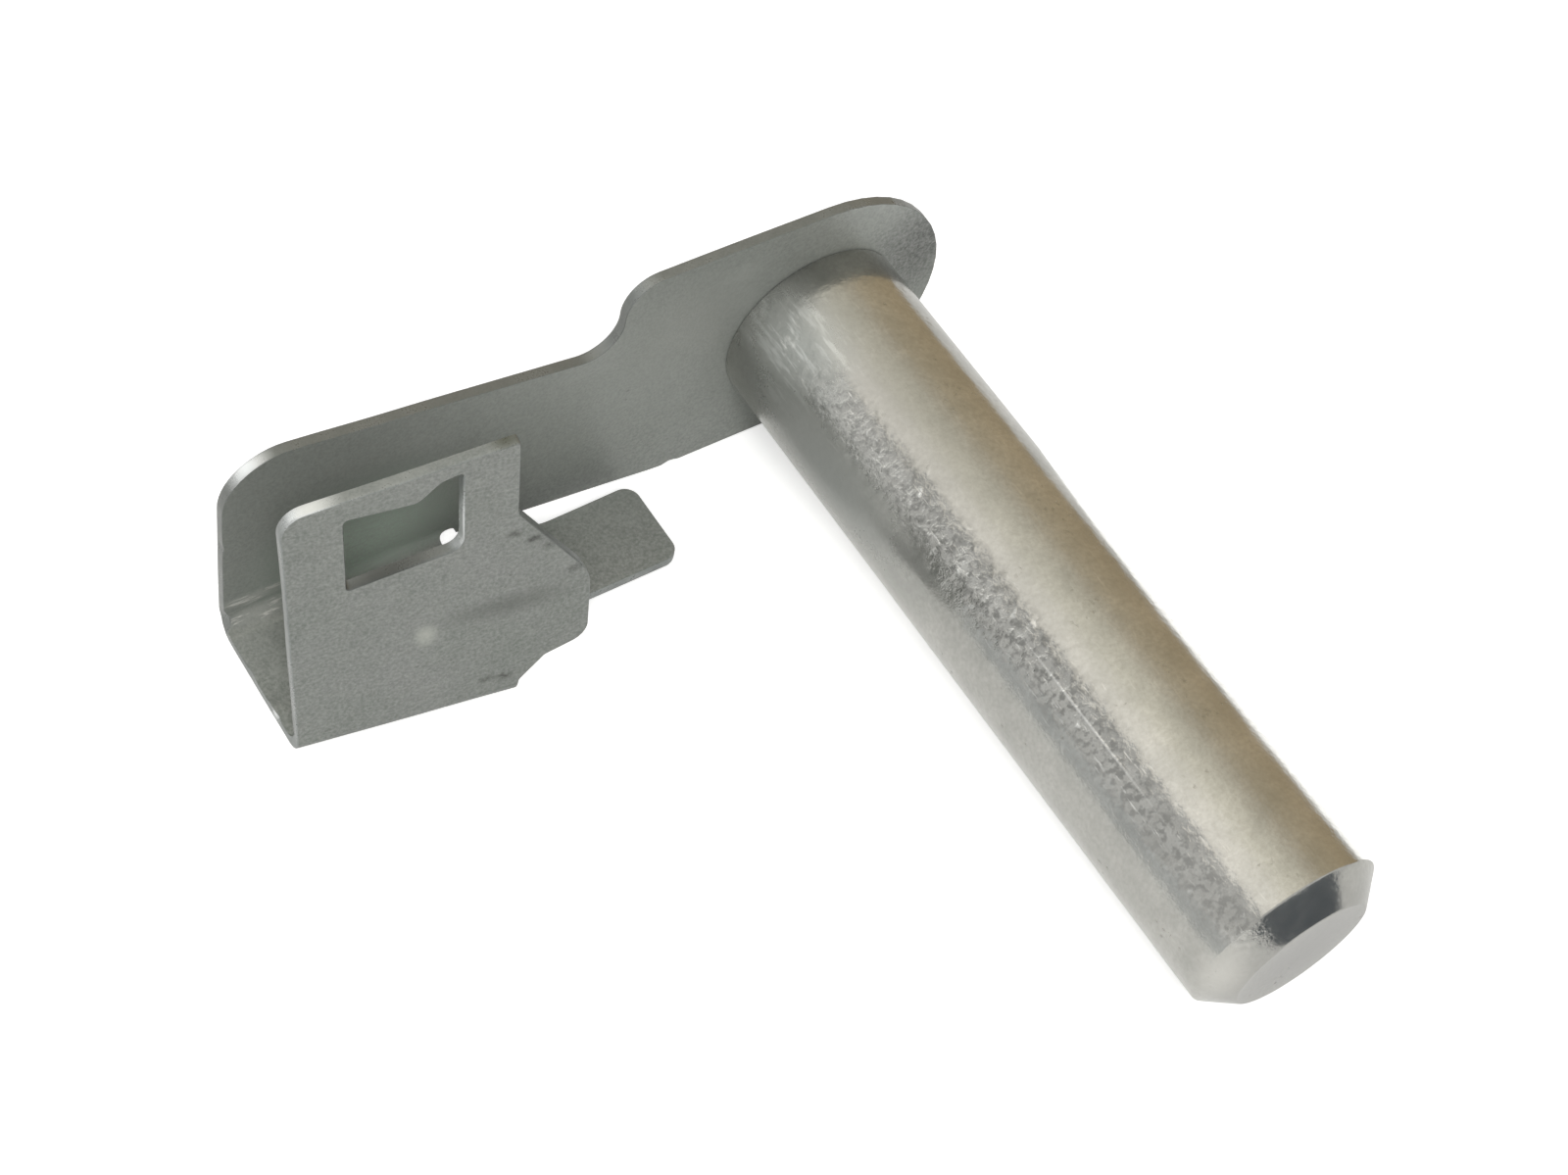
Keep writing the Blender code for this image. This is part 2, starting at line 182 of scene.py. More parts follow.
def new_object(name, mesh, materials):
    """An object in the scene from a bmesh, which it uses up."""
    data = bpy.data.meshes.new(name)
    mesh.to_mesh(data)
    mesh.free()
    for material in materials:
        data.materials.append(material)
    made = bpy.data.objects.new(name, data)
    bpy.context.scene.collection.objects.link(made)
    return made


def merged_copy(node_name):
    """The CAD node's triangles as one closed mesh with its flat faces made whole."""
    mesh = bmesh.new()
    mesh.from_mesh(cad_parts[node_name].data)
    bmesh.ops.remove_doubles(mesh, verts=mesh.verts[:], dist=MERGE_DISTANCE)
    bmesh.ops.recalc_face_normals(mesh, faces=mesh.faces[:])
    bmesh.ops.dissolve_limit(
        mesh,
        angle_limit=FLAT_ANGLE,
        use_dissolve_boundaries=False,
        verts=mesh.verts[:],
        edges=mesh.edges[:],
        delimit={"NORMAL"},
    )
    return mesh


def slice_mesh(mesh, axis, low, high):
    """Cuts a mesh across one axis every cell, so that its faces can take small unevenness."""
    across = Vector((0, 0, 0))
    across[axis] = 1
    steps = int((high[axis] - low[axis]) / CELL)
    for step in range(1, steps + 1):
        place = Vector(low)
        place[axis] += CELL * step
        bmesh.ops.bisect_plane(
            mesh,
            geom=mesh.verts[:] + mesh.edges[:] + mesh.faces[:],
            dist=CUT_TOLERANCE,
            plane_co=place,
            plane_no=across,
        )


def broad_faces(mesh):
    """The sheet's two broad sides, followed round its bends from its large flat faces."""
    reached = {face for face in mesh.faces if face.calc_area() > BROAD_FACE_AREA}
    waiting = list(reached)
    while waiting:
        face = waiting.pop()
        for edge in face.edges:
            if len(edge.link_faces) != 2 or edge.calc_face_angle(pi) > RIM_ANGLE:
                continue
            for other in edge.link_faces:
                if other not in reached:
                    reached.add(other)
                    waiting.append(other)
    return reached


def keep_inside(mesh, low, high):
    """Keeps every vertex within the node's own box."""
    for vertex in mesh.verts:
        for axis in range(3):
            vertex.co[axis] = min(max(vertex.co[axis], low[axis]), high[axis])


def push(mesh, place, reach, move):
    """A small dent or burr: moves what lies near a place, fading out to its reach."""
    for vertex in mesh.verts:
        away = (vertex.co - place).length / reach
        if away < 1:
            vertex.co += move * (1 - away * away) ** 2


def finish_piece(name, mesh, materials, node_name):
    """An object from a bmesh that stands for a CAD node and rides with it."""
    for face in mesh.faces:
        face.smooth = True
    for edge in mesh.edges:
        borders = len({face.material_index for face in edge.link_faces}) > 1
        edge.smooth = not borders and edge.calc_face_angle(0) < SHADING_ANGLE
    piece = new_object(name, mesh, materials)
    weighted = piece.modifiers.new("even_shading", "WEIGHTED_NORMAL")
    weighted.mode = "FACE_AREA"
    weighted.keep_sharp = True
    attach(piece, "root")
    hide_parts(node_name)


def folded_clip(sheet_finish, edge_finish):
    """The folded sheet with its rounded cut edges, a little buckled and nicked."""
    low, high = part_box("clip_plate")
    mesh = merged_copy("clip_plate")
    broad = broad_faces(mesh)
    for face in mesh.faces:
        face.material_index = 0 if face in broad else 1
    for axis in range(3):
        slice_mesh(mesh, axis, low, high)
    bmesh.ops.dissolve_degenerate(mesh, dist=SMALLEST_EDGE, edges=mesh.edges[:])
    bmesh.ops.recalc_face_normals(mesh, faces=mesh.faces[:])
    noise.seed_set(BUCKLE_SEED)
    for vertex in mesh.verts:
        vertex.co += noise.noise_vector(vertex.co / SHEET_BUCKLE_CELL) * SHEET_BUCKLE
    for place, reach, move in SHEET_NICKS:
        push(mesh, place, reach, move)
    keep_inside(mesh, low, high)
    finish_piece("folded_clip", mesh, (sheet_finish, edge_finish), "clip_plate")


def turned_pin(plated_finish):
    """The turned pin with its corners just broken, its side uneven and its shoulder seated on the plate."""
    low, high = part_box("lock_pin")
    mesh = merged_copy("lock_pin")
    corners = [edge for edge in mesh.edges if edge.calc_face_angle(0) > PIN_EDGE_ANGLE]
    bmesh.ops.bevel(
        mesh,
        geom=corners,
        offset=PIN_CORNER,
        offset_type="OFFSET",
        affect="EDGES",
        segments=3,
        profile=0.5,
        material=-1,
        clamp_overlap=True,
    )
    slice_mesh(mesh, 1, low, high)
    for vertex in mesh.verts:
        outwards = Vector((vertex.co.x, 0, vertex.co.z))
        near_plate = PLATE_FACE_Y - SHOULDER_BAND < vertex.co.y < PLATE_FACE_Y
        if near_plate and outwards.length > SHOULDER_RADIUS:
            vertex.co.y += SHOULDER_GAP
        wave = noise.noise(vertex.co / PIN_UNEVENNESS_CELL)
        if outwards.length > 0:
            vertex.co += outwards.normalized() * (wave - 1) / 2 * PIN_UNEVENNESS
    keep_inside(mesh, low, high)
    finish_piece("turned_pin", mesh, (plated_finish,), "lock_pin")


# Shader nodes

def set_inputs(made, values):
    """Gives a node's input sockets their values, by name with underscores for spaces."""
    for name, value in values.items():
        made.inputs[name.replace("_", " ")].default_value = value
    return made


def add_node(tree, kind, place, settings=None, **values):
    """A shader node with its plain settings, and values for its input sockets by name."""
    made = tree.nodes.new(kind)
    made.location = place
    for name, value in (settings or {}).items():
        setattr(made, name, value)
    return set_inputs(made, values)


def use_group(tree, group, place, **values):
    """A group placed in a material, with its own values."""
    made = tree.nodes.new("ShaderNodeGroup")
    made.node_tree = group
    made.location = place
    return set_inputs(made, values)


def new_group(name, inputs, outputs):
    """An empty shader node group with named sockets, and its input and output nodes."""
    group = bpy.data.node_groups.new(name, "ShaderNodeTree")
    for socket_name, socket_type, value in inputs:
        socket = group.interface.new_socket(socket_name, in_out="INPUT", socket_type=socket_type)
        if value is not None:
            socket.default_value = value
    for socket_name, socket_type in outputs:
        group.interface.new_socket(socket_name, in_out="OUTPUT", socket_type=socket_type)
    taken = group.nodes.new("NodeGroupInput")
    given = group.nodes.new("NodeGroupOutput")
    taken.location = (-900, 0)
    given.location = (700, 0)
    return group, taken, given


def mottle_group():
    """Cloudy patches and fine sand: two noises, each spread over 0 to 1."""
    group, taken, given = new_group(
        "mottle",
        (
            ("Vector", "NodeSocketVector", None),
            ("Cloud Scale", "NodeSocketFloat", 300.0),
            ("Sand Scale", "NodeSocketFloat", 9000.0),
        ),
        (("Cloud", "NodeSocketFloat"), ("Sand", "NodeSocketFloat")),
    )
    links = group.links
    rows = (("Cloud Scale", "Cloud", 4), ("Sand Scale", "Sand", 2))
    for row, (scale, output, detail) in enumerate(rows):
        grain = add_node(group, "ShaderNodeTexNoise", (-500, -300 * row), Detail=detail, Roughness=0.6)
        spread = add_node(group, "ShaderNodeMapRange", (-200, -300 * row), From_Min=0.3, From_Max=0.7)
        links.new(taken.outputs["Vector"], grain.inputs["Vector"])
        links.new(taken.outputs[scale], grain.inputs["Scale"])
        links.new(grain.outputs["Fac"], spread.inputs["Value"])
        links.new(spread.outputs["Result"], given.inputs[output])
    return group


def pits_group():
    """Small ragged pits scattered in patches: 1 in a pit, 0 elsewhere."""
    group, taken, given = new_group(
        "pits",
        (
            ("Vector", "NodeSocketVector", None),
            ("Scale", "NodeSocketFloat", 1500.0),
            ("Size", "NodeSocketFloat", 0.22),
            ("Patch Scale", "NodeSocketFloat", 250.0),
            ("Patch Share", "NodeSocketFloat", 0.55),
        ),
        (("Mask", "NodeSocketFloat"),),
    )
    raggedness = 1.1
    links = group.links
    scaled = add_node(group, "ShaderNodeVectorMath", (-800, 200), {"operation": "SCALE"})
    wobble = add_node(group, "ShaderNodeTexNoise", (-800, -50), Scale=1.6, Detail=2)
    ragged = add_node(group, "ShaderNodeVectorMath", (-600, 100), {"operation": "MULTIPLY_ADD"})
    ragged.inputs[1].default_value = (raggedness, raggedness, raggedness)
    cells = add_node(group, "ShaderNodeTexVoronoi", (-420, 100), Scale=1.0, Randomness=1.0)
    patches = add_node(group, "ShaderNodeTexNoise", (-600, -350), Detail=3)
    inside = add_node(group, "ShaderNodeMapRange", (-240, 100), To_Min=1.0, To_Max=0.0)
    in_patch = add_node(group, "ShaderNodeMath", (-240, -350), {"operation": "GREATER_THAN"})
    both = add_node(group, "ShaderNodeMath", (0, 0), {"operation": "MULTIPLY"})
    links.new(taken.outputs["Vector"], scaled.inputs[0])
    links.new(taken.outputs["Scale"], scaled.inputs["Scale"])
    links.new(scaled.outputs["Vector"], wobble.inputs["Vector"])
    links.new(wobble.outputs["Color"], ragged.inputs[0])
    links.new(scaled.outputs["Vector"], ragged.inputs[2])
    links.new(ragged.outputs["Vector"], cells.inputs["Vector"])
    links.new(taken.outputs["Vector"], patches.inputs["Vector"])
    links.new(taken.outputs["Patch Scale"], patches.inputs["Scale"])
    links.new(cells.outputs["Distance"], inside.inputs["Value"])
    links.new(taken.outputs["Size"], inside.inputs["From Max"])
    links.new(patches.outputs["Fac"], in_patch.inputs[0])
    links.new(taken.outputs["Patch Share"], in_patch.inputs[1])
    links.new(inside.outputs["Result"], both.inputs[0])
    links.new(in_patch.outputs["Value"], both.inputs[1])
    links.new(both.outputs["Value"], given.inputs["Mask"])
    return group


def scratches_group():
    """Fine broken lines along one direction: 1 on a line, 0 elsewhere."""
    group, taken, given = new_group(
        "scratches",
        (
            ("Vector", "NodeSocketVector", None),
            ("Turn", "NodeSocketVector", None),
            ("Stretch", "NodeSocketVector", None),
            ("Amount", "NodeSocketFloat", 0.3),
        ),
        (("Mask", "NodeSocketFloat"),),
    )
    sharpness = 9.0
    links = group.links
    turned = add_node(group, "ShaderNodeMapping", (-650, 100))
    lines = add_node(group, "ShaderNodeTexNoise", (-400, 100), Scale=1.0, Detail=3, Roughness=0.7)
    edge = add_node(group, "ShaderNodeMath", (-200, -200), {"operation": "SUBTRACT"})
    edge.inputs[0].default_value = 1.0
    above = add_node(group, "ShaderNodeMath", (0, 100), {"operation": "SUBTRACT", "use_clamp": True})
    sharp = add_node(group, "ShaderNodeMath", (200, 100), {"operation": "MULTIPLY", "use_clamp": True})
    sharp.inputs[1].default_value = sharpness
    links.new(taken.outputs["Vector"], turned.inputs["Vector"])
    links.new(taken.outputs["Turn"], turned.inputs["Rotation"])
    links.new(taken.outputs["Stretch"], turned.inputs["Scale"])
    links.new(turned.outputs["Vector"], lines.inputs["Vector"])
    links.new(taken.outputs["Amount"], edge.inputs[1])
    links.new(lines.outputs["Fac"], above.inputs[0])
    links.new(edge.outputs["Value"], above.inputs[1])
    links.new(above.outputs["Value"], sharp.inputs[0])
    links.new(sharp.outputs["Value"], given.inputs["Mask"])
    return group


def mark_group():
    """A soft mark round one place: 1 at its middle, fading to 0 at its reach along each axis."""
    group, taken, given = new_group(
        "mark",
        (
            ("Vector", "NodeSocketVector", None),
            ("Place", "NodeSocketVector", None),
            ("Reach", "NodeSocketVector", None),
        ),
        (("Mask", "NodeSocketFloat"),),
    )
    links = group.links
    smooth = {"interpolation_type": "SMOOTHSTEP"}
    offset = add_node(group, "ShaderNodeVectorMath", (-600, 0), {"operation": "SUBTRACT"})
    scaled = add_node(group, "ShaderNodeVectorMath", (-400, 0), {"operation": "DIVIDE"})
    length = add_node(group, "ShaderNodeVectorMath", (-200, 0), {"operation": "LENGTH"})
    fade = add_node(group, "ShaderNodeMapRange", (0, 0), smooth, To_Min=1.0, To_Max=0.0)
    links.new(taken.outputs["Vector"], offset.inputs[0])
    links.new(taken.outputs["Place"], offset.inputs[1])
    links.new(offset.outputs["Vector"], scaled.inputs[0])
    links.new(taken.outputs["Reach"], scaled.inputs[1])
    links.new(scaled.outputs["Vector"], length.inputs[0])
    links.new(length.outputs["Value"], fade.inputs["Value"])
    links.new(fade.outputs["Result"], given.inputs["Mask"])
    return group


MOTTLE = mottle_group()
PITS = pits_group()
SCRATCHES = scratches_group()
MARK = mark_group()

# The colour sockets of a Mix node, which share their names with its other kinds
MIX_COLOURS = slice(6, 8)
MIX_RESULT = 2


# Materials

class Finish:
    """A material under construction: its Principled surface, its Object coordinates and its layers."""

    def __init__(self, name, metallic):
        self.material = bpy.data.materials.new(name)
        self.material.use_nodes = True
        self.tree = self.material.node_tree
        self.links = self.tree.links
        self.surface = self.tree.nodes["Principled BSDF"]
        self.surface.inputs["Metallic"].default_value = metallic
        self.place = add_node(self.tree, "ShaderNodeTexCoord", (-1600, 0)).outputs["Object"]
        self.column = -1300

    def group(self, group, **values):
        """An effect of a shared group, laid out in the material with its own values."""
        made = use_group(self.tree, group, (self.column, -300), **values)
        self.links.new(self.place, made.inputs["Vector"])
        self.column += 60
        return made

    def mask(self, group, **values):
        """The one mask of a shared group."""
        return self.group(group, **values).outputs["Mask"]

    def mark(self, place, reach):
        """A soft mark round a place."""
        return self.mask(MARK, Place=place, Reach=reach)

    def mix(self, mask, below, above, strength=1.0):
        """The colour below, going over to the one above where the mask is 1."""
        scaled = add_node(self.tree, "ShaderNodeMath", (self.column, 300), {"operation": "MULTIPLY"})
        scaled.inputs[1].default_value = strength
        self.links.new(mask, scaled.inputs[0])
        made = add_node(self.tree, "ShaderNodeMix", (self.column + 160, 300), {"data_type": "RGBA"})
        self.column += 60
        self.links.new(scaled.outputs["Value"], made.inputs["Factor"])
        for socket, colour in zip(made.inputs[MIX_COLOURS], (below, above)):
            if isinstance(colour, tuple):
                socket.default_value = (*colour, 1)
            else:
                self.links.new(colour, socket)
        return made.outputs[MIX_RESULT]

    def coats(self, colour, *coats):
        """A colour with coats laid over it in turn, each with its mask, colour and strength."""
        for mask, above, strength in coats:
            colour = self.mix(mask, colour, above, strength)
        return colour

    def math(self, operation, *terms):
        """One sum on masks: the operation with its masks and numbers."""
        made = add_node(self.tree, "ShaderNodeMath", (self.column, -500), {"operation": operation})
        self.column += 60
        for socket, value in zip(made.inputs, terms):
            if isinstance(value, (int, float)):
                socket.default_value = value
            else:
                self.links.new(value, socket)
        return made.outputs["Value"]

    def total(self, base, *terms):
        """A number: the base plus each mask times its weight."""
        result = base
        for mask, weight in terms:
            result = self.math("MULTIPLY_ADD", mask, weight, result)
        return result

    def finish(self, colour, roughness, height, relief):
        """The material with its colour, its roughness and its relief of a given depth."""
        self.links.new(colour, self.surface.inputs["Base Color"])
        self.links.new(roughness, self.surface.inputs["Roughness"])
        bump = add_node(self.tree, "ShaderNodeBump", (-250, -500), Strength=1.0, Distance=relief)
        self.links.new(height, bump.inputs["Height"])
        self.links.new(bump.outputs["Normal"], self.surface.inputs["Normal"])
        return self.material


def lean(degrees):
    """The turn that leans a pattern by an angle about the normal of the pin's worn side."""
    return tuple(Matrix.Rotation(radians(degrees), 3, WORN_NORMAL).to_euler())


def dull_zinc_sheet():
    """Dull zinc with a sandy grain, faint green-grey clouds, pits, rubbed streaks and one pressed spot;
    with painted light inside the channel, behind the window and left of the pin, a painted shadow right of
    the pin, and its scuffs at the bend painted bright as the bend's highlight.
    """
    finish = Finish("dull_zinc_sheet", 0.35)
    mottle = finish.group(MOTTLE, Cloud_Scale=240.0, Sand_Scale=6500.0)
    blotch = finish.group(MOTTLE, Cloud_Scale=900.0, Sand_Scale=2600.0)
    pits = finish.mask(PITS, Scale=2300.0, Size=0.30, Patch_Scale=330.0, Patch_Share=0.68)
    rub = finish.mask(SCRATCHES, Turn=(0, 0.14, 0), Stretch=(120, 900, 2600), Amount=0.36)
    fine_rub = finish.mask(SCRATCHES, Turn=(0, 0.3, 0), Stretch=(700, 900, 5200), Amount=0.46)
    # scuffs at the bend with a painted highlight
    scuffs_and_sheen = finish.math("MAXIMUM", finish.mark(*HIGH_SCUFF_SHEEN), finish.mark(*LOW_SCUFF_SHEEN))
    scuffs_and_sheen = finish.math("MULTIPLY", scuffs_and_sheen, finish.math("MULTIPLY_ADD", fine_rub, 1.9, 0.45))
    colour = finish.coats(
        finish.mix(mottle.outputs["Cloud"], (0.168, 0.187, 0.168), (0.205, 0.214, 0.205)),
        (blotch.outputs["Cloud"], (0.220, 0.228, 0.210), 0.35),
        # painted light: the sheet inside the channel lighter
        (finish.mark(*INNER_PAINTED_LIGHT_AND_SHADE), (0.30, 0.32, 0.295), 0.75),
        # painted light on the plate left of the pin
        (finish.mark(*PAINTED_LIGHT_PATCH), (0.37, 0.38, 0.355), 0.6),
        # green tint and painted light behind the window
        (finish.mark(*GREEN_PAINTED_LIGHT), (0.54, 0.66, 0.56), 0.9),
        # painted shadow of the pin on the plate
        (finish.mark(*PIN_SHADOW_PATCH), (0.04, 0.044, 0.04), 0.9),
        (mottle.outputs["Sand"], (0.42, 0.43, 0.41), 0.5),
        (rub, (0.38, 0.38, 0.36), 0.3),
        (fine_rub, (0.36, 0.37, 0.35), 0.2),
        (finish.mark(*PRESSED_STREAK), (0.13, 0.135, 0.125), 0.6),
        (finish.mark(*PRESSED_SPOT), (0.52, 0.53, 0.48), 0.6),
        (finish.mark(*PLATE_SMEAR), (0.42, 0.43, 0.41), 0.35),
        # scuffs with a painted highlight at the bend
        (scuffs_and_sheen, (0.68, 0.68, 0.64), 0.8),
        (pits, (0.10, 0.10, 0.09), 0.55),
    )
    for place in SHEET_PITS:
        pit = finish.math("MULTIPLY", finish.mark(place, SHEET_PIT_REACH), blotch.outputs["Sand"])
        colour = finish.mix(pit, colour, (0.035, 0.035, 0.03))
    roughness = finish.total(0.50, (mottle.outputs["Cloud"], -0.08), (rub, -0.1), (pits, 0.2))
    height = finish.total(
        0.0,
        (mottle.outputs["Sand"], 0.5),
        (mottle.outputs["Cloud"], 1.6),
        (blotch.outputs["Cloud"], 0.7),
        (pits, -1.2),
        (scuffs_and_sheen, 0.8),
    )
    return finish.finish(colour, roughness, height, SHEET_RELIEF)


def bright_cut_edge():
    """The sheared edge: zinc rubbed smooth, with painted highlights at its corners, painted shade inside
    the channel and on the window sill, and one short dark stain.
    """
    finish = Finish("bright_cut_edge", 0.5)
    mottle = finish.group(MOTTLE, Cloud_Scale=700.0, Sand_Scale=8000.0)
    edge_highlight = 0.0
    for place, reach in EDGE_HIGHLIGHTS:
        edge_highlight = finish.math("MAXIMUM", finish.mark(place, reach), edge_highlight)
    colour = finish.coats(
        finish.mix(mottle.outputs["Cloud"], (0.18, 0.196, 0.19), (0.29, 0.304, 0.295)),
        (mottle.outputs["Sand"], (0.36, 0.378, 0.37), 0.45),
        # painted shade: the cut edges inside the channel darker
        (finish.mark(*INNER_PAINTED_LIGHT_AND_SHADE), (0.14, 0.145, 0.135), 0.7),
        # painted highlights on the edges' corners
        (edge_highlight, (0.88, 0.90, 0.90), 0.9),
        # painted shade on the window sill
        (finish.mark(*WINDOW_SILL_SHADE), (0.07, 0.074, 0.07), 0.95),
        (finish.mark(*EDGE_STAIN), (0.07, 0.075, 0.05), 0.8),
    )
    roughness = finish.total(
        0.34,
        (mottle.outputs["Cloud"], -0.12),
        (mottle.outputs["Sand"], 0.06),
        (edge_highlight, -0.08),
    )
    height = finish.total(0.0, (mottle.outputs["Sand"], 0.5), (mottle.outputs["Cloud"], 1.0))
    return finish.finish(colour, roughness, height, EDGE_RELIEF)


def zinc_plated_steel():
    """Bright zinc plate: clouded, hammered and scratched along its worn side, its chips, scratches and
    brushed lines painted white as glints, rubbed dull at its base, with painted shade on its streak near
    the plate and at its free end, and painted light on the chamfer's left side.
    """
    finish = Finish("zinc_plated_steel", 1.0)
    mottle = finish.group(MOTTLE, Cloud_Scale=520.0, Sand_Scale=4200.0)
    hammer = finish.group(MOTTLE, Cloud_Scale=1300.0, Sand_Scale=2600.0)
    pits = finish.mask(PITS, Scale=2200.0, Size=0.32, Patch_Scale=420.0, Patch_Share=0.60)
    flecks = finish.mask(PITS, Scale=1000.0, Size=0.26, Patch_Scale=420.0, Patch_Share=0.52)
    along = finish.mask(SCRATCHES, Turn=lean(14), Stretch=(4600, 500, 4600), Amount=0.36)
    across = finish.mask(SCRATCHES, Turn=lean(-62), Stretch=(4800, 700, 4800), Amount=0.37)
    brush = finish.mask(SCRATCHES, Turn=lean(78), Stretch=(2600, 420, 2600), Amount=0.48)
    worn = finish.mark(*WORN_SIDE)
    groove = finish.mark(*WORN_GROOVE)
    rubbed = finish.mark(*RUBBED_BASE)
    flank = finish.mark(*RUBBED_FLANK)
    tip = finish.mark(*TIP_SHADE)
    long_scratch_glint = finish.mark(*LONG_SCRATCH_GLINT)
    base = finish.math("MAXIMUM", rubbed, flank)
    scratches = finish.math("MAXIMUM", along, across)
    # Scratches and chips on the worn side and brushed lines at the base: real marks, painted white as
    # glints
    scratch_glints = finish.math("MULTIPLY", scratches, worn)
    chip_glints = finish.math("MULTIPLY", flecks, worn)
    brushed_glints = finish.math("MULTIPLY", rubbed, brush)
    dents = finish.math("MULTIPLY", worn, hammer.outputs["Cloud"])
    clouded = finish.math("MULTIPLY", worn, mottle.outputs["Cloud"])
    specks = finish.math("MULTIPLY_ADD", hammer.outputs["Sand"], 2.4, -0.9)
    specks = finish.math("MINIMUM", finish.math("MAXIMUM", specks, 0.0), 1.0)
    stained = finish.math("MULTIPLY", finish.math("MAXIMUM", worn, groove), specks)
    colour = finish.coats(
        finish.mix(mottle.outputs["Cloud"], (0.465, 0.465, 0.44), (0.59, 0.585, 0.555)),
        (mottle.outputs["Sand"], (0.35, 0.34, 0.315), 0.42),
        (pits, (0.26, 0.25, 0.22), 0.6),
        (scratches, (0.75, 0.74, 0.70), 0.25),
        # painted shade on the streak near the plate
        (finish.mark(*BASE_STREAK_SHADE), (0.33, 0.33, 0.315), 0.75),
        (groove, (0.24, 0.24, 0.225), 0.45),
        (dents, (0.76, 0.76, 0.73), 0.5),
        (stained, (0.17, 0.17, 0.16), 0.7),
        (flank, (0.33, 0.345, 0.33), 0.85),
        (rubbed, (0.40, 0.42, 0.40), 0.8),
        # painted glints on the brushed lines, chips and scratches
        (brushed_glints, (0.72, 0.74, 0.72), 0.6),
        (chip_glints, (1.0, 1.0, 0.97), 0.9),
        (scratch_glints, (0.95, 0.95, 0.92), 0.9),
        (long_scratch_glint, (1.0, 1.0, 0.97), 0.9),
        # painted shade at the free end
        (tip, (0.36, 0.355, 0.345), 0.95),
        # painted light on the chamfer's left side
        (finish.mark(*CHAMFER_PAINTED_LIGHT), (0.72, 0.71, 0.67), 0.65),
    )
    roughness = finish.total(
        0.12,
        (mottle.outputs["Cloud"], 0.08),
        (mottle.outputs["Sand"], 0.05),
        (pits, 0.2),
        (base, 0.2),
    )
    metallic = finish.total(1.0, (base, -0.6))
    finish.links.new(metallic, finish.surface.inputs["Metallic"])
    relief = finish.total(
        0.0,
        (mottle.outputs["Cloud"], 1.5),
        (mottle.outputs["Sand"], 0.2),
        (hammer.outputs["Cloud"], 0.5),
        (pits, -0.5),
        (dents, 5.5),
        (clouded, 2.0),
        (scratch_glints, -1.2),
        (chip_glints, 2.5),
        (long_scratch_glint, 1.5),
    )
    height = finish.math("MULTIPLY", relief, finish.total(1.0, (tip, -0.85)))
    return finish.finish(colour, roughness, height, PIN_RELIEF)


# The pieces

folded_clip(dull_zinc_sheet(), bright_cut_edge())
turned_pin(zinc_plated_steel())


# Sizes, colours and levels of the studio

MIDDLE = (cad_box[0] + cad_box[1]) / 2
FLOOR_WIDTH = 3.0
FLOOR_DROP = 0.125 * MM
FLOOR_COLOUR = (0.86, 0.86, 0.855, 1)
FLOOR_GLOW = 0.55
FLOOR_GLOW_IN_METAL = 0.1
LEG_FOOT = mm(-31.8, 32.6, -6.36)
ROOM_COLOUR = (1.0, 1.0, 0.985, 1)
ROOM_LIGHT = 0.30
ROOM_SHOWN = 0.72
TIP_CARD_TOWARDS = Vector((0.276, -0.961, 0))
TIP_CARD_DISTANCE = 42 * MM

# The arched cards: the strength of their glow, and their colours, each at its angle above +X in degrees
ARCH_LEVEL = 1.4
ARCH_STEPS = 48
WINDOW_COLOURS = ((127, (1.4, 1.4, 1.36)), (162, (1.4, 1.4, 1.38)))
ARCH_COLOURS = (
    (-8, (0.46, 0.37, 0.24)),
    (20, (0.56, 0.46, 0.31)),
    (48, (0.60, 0.52, 0.38)),
    (60, (0.68, 0.62, 0.50)),
    (72, (0.82, 0.78, 0.66)),
    (92, (1.10, 1.06, 0.93)),
    (108, (1.28, 1.24, 1.15)),
    (127, (1.35, 1.31, 1.24)),
)

# The camera matched to the photograph
CAMERA_PLACE = mm(-60.12, -22.90, 98.86)
CAMERA_RIGHT = Vector((0.8306, -0.5363, 0.1498))
CAMERA_DOWN = Vector((-0.3745, -0.7371, -0.5625))
CAMERA_LENS = 59.59
CAMERA_SENSOR = 36


# Floor, light and camera

def facing(place, towards):
    """The placing that puts a flat thing at a place with its own +Z along a direction."""
    return Matrix.Translation(place) @ Vector(towards).to_track_quat("Z", "Y").to_matrix().to_4x4()


def panel(name, width, depth, material):
    """A flat rectangle round the origin, facing up."""
    mesh = bmesh.new()
    bmesh.ops.create_grid(mesh, x_segments=1, y_segments=1, size=0.5)
    bmesh.ops.scale(mesh, vec=(width, depth, 1), verts=mesh.verts[:])
    made = new_object(name, mesh, (material,))
    return made


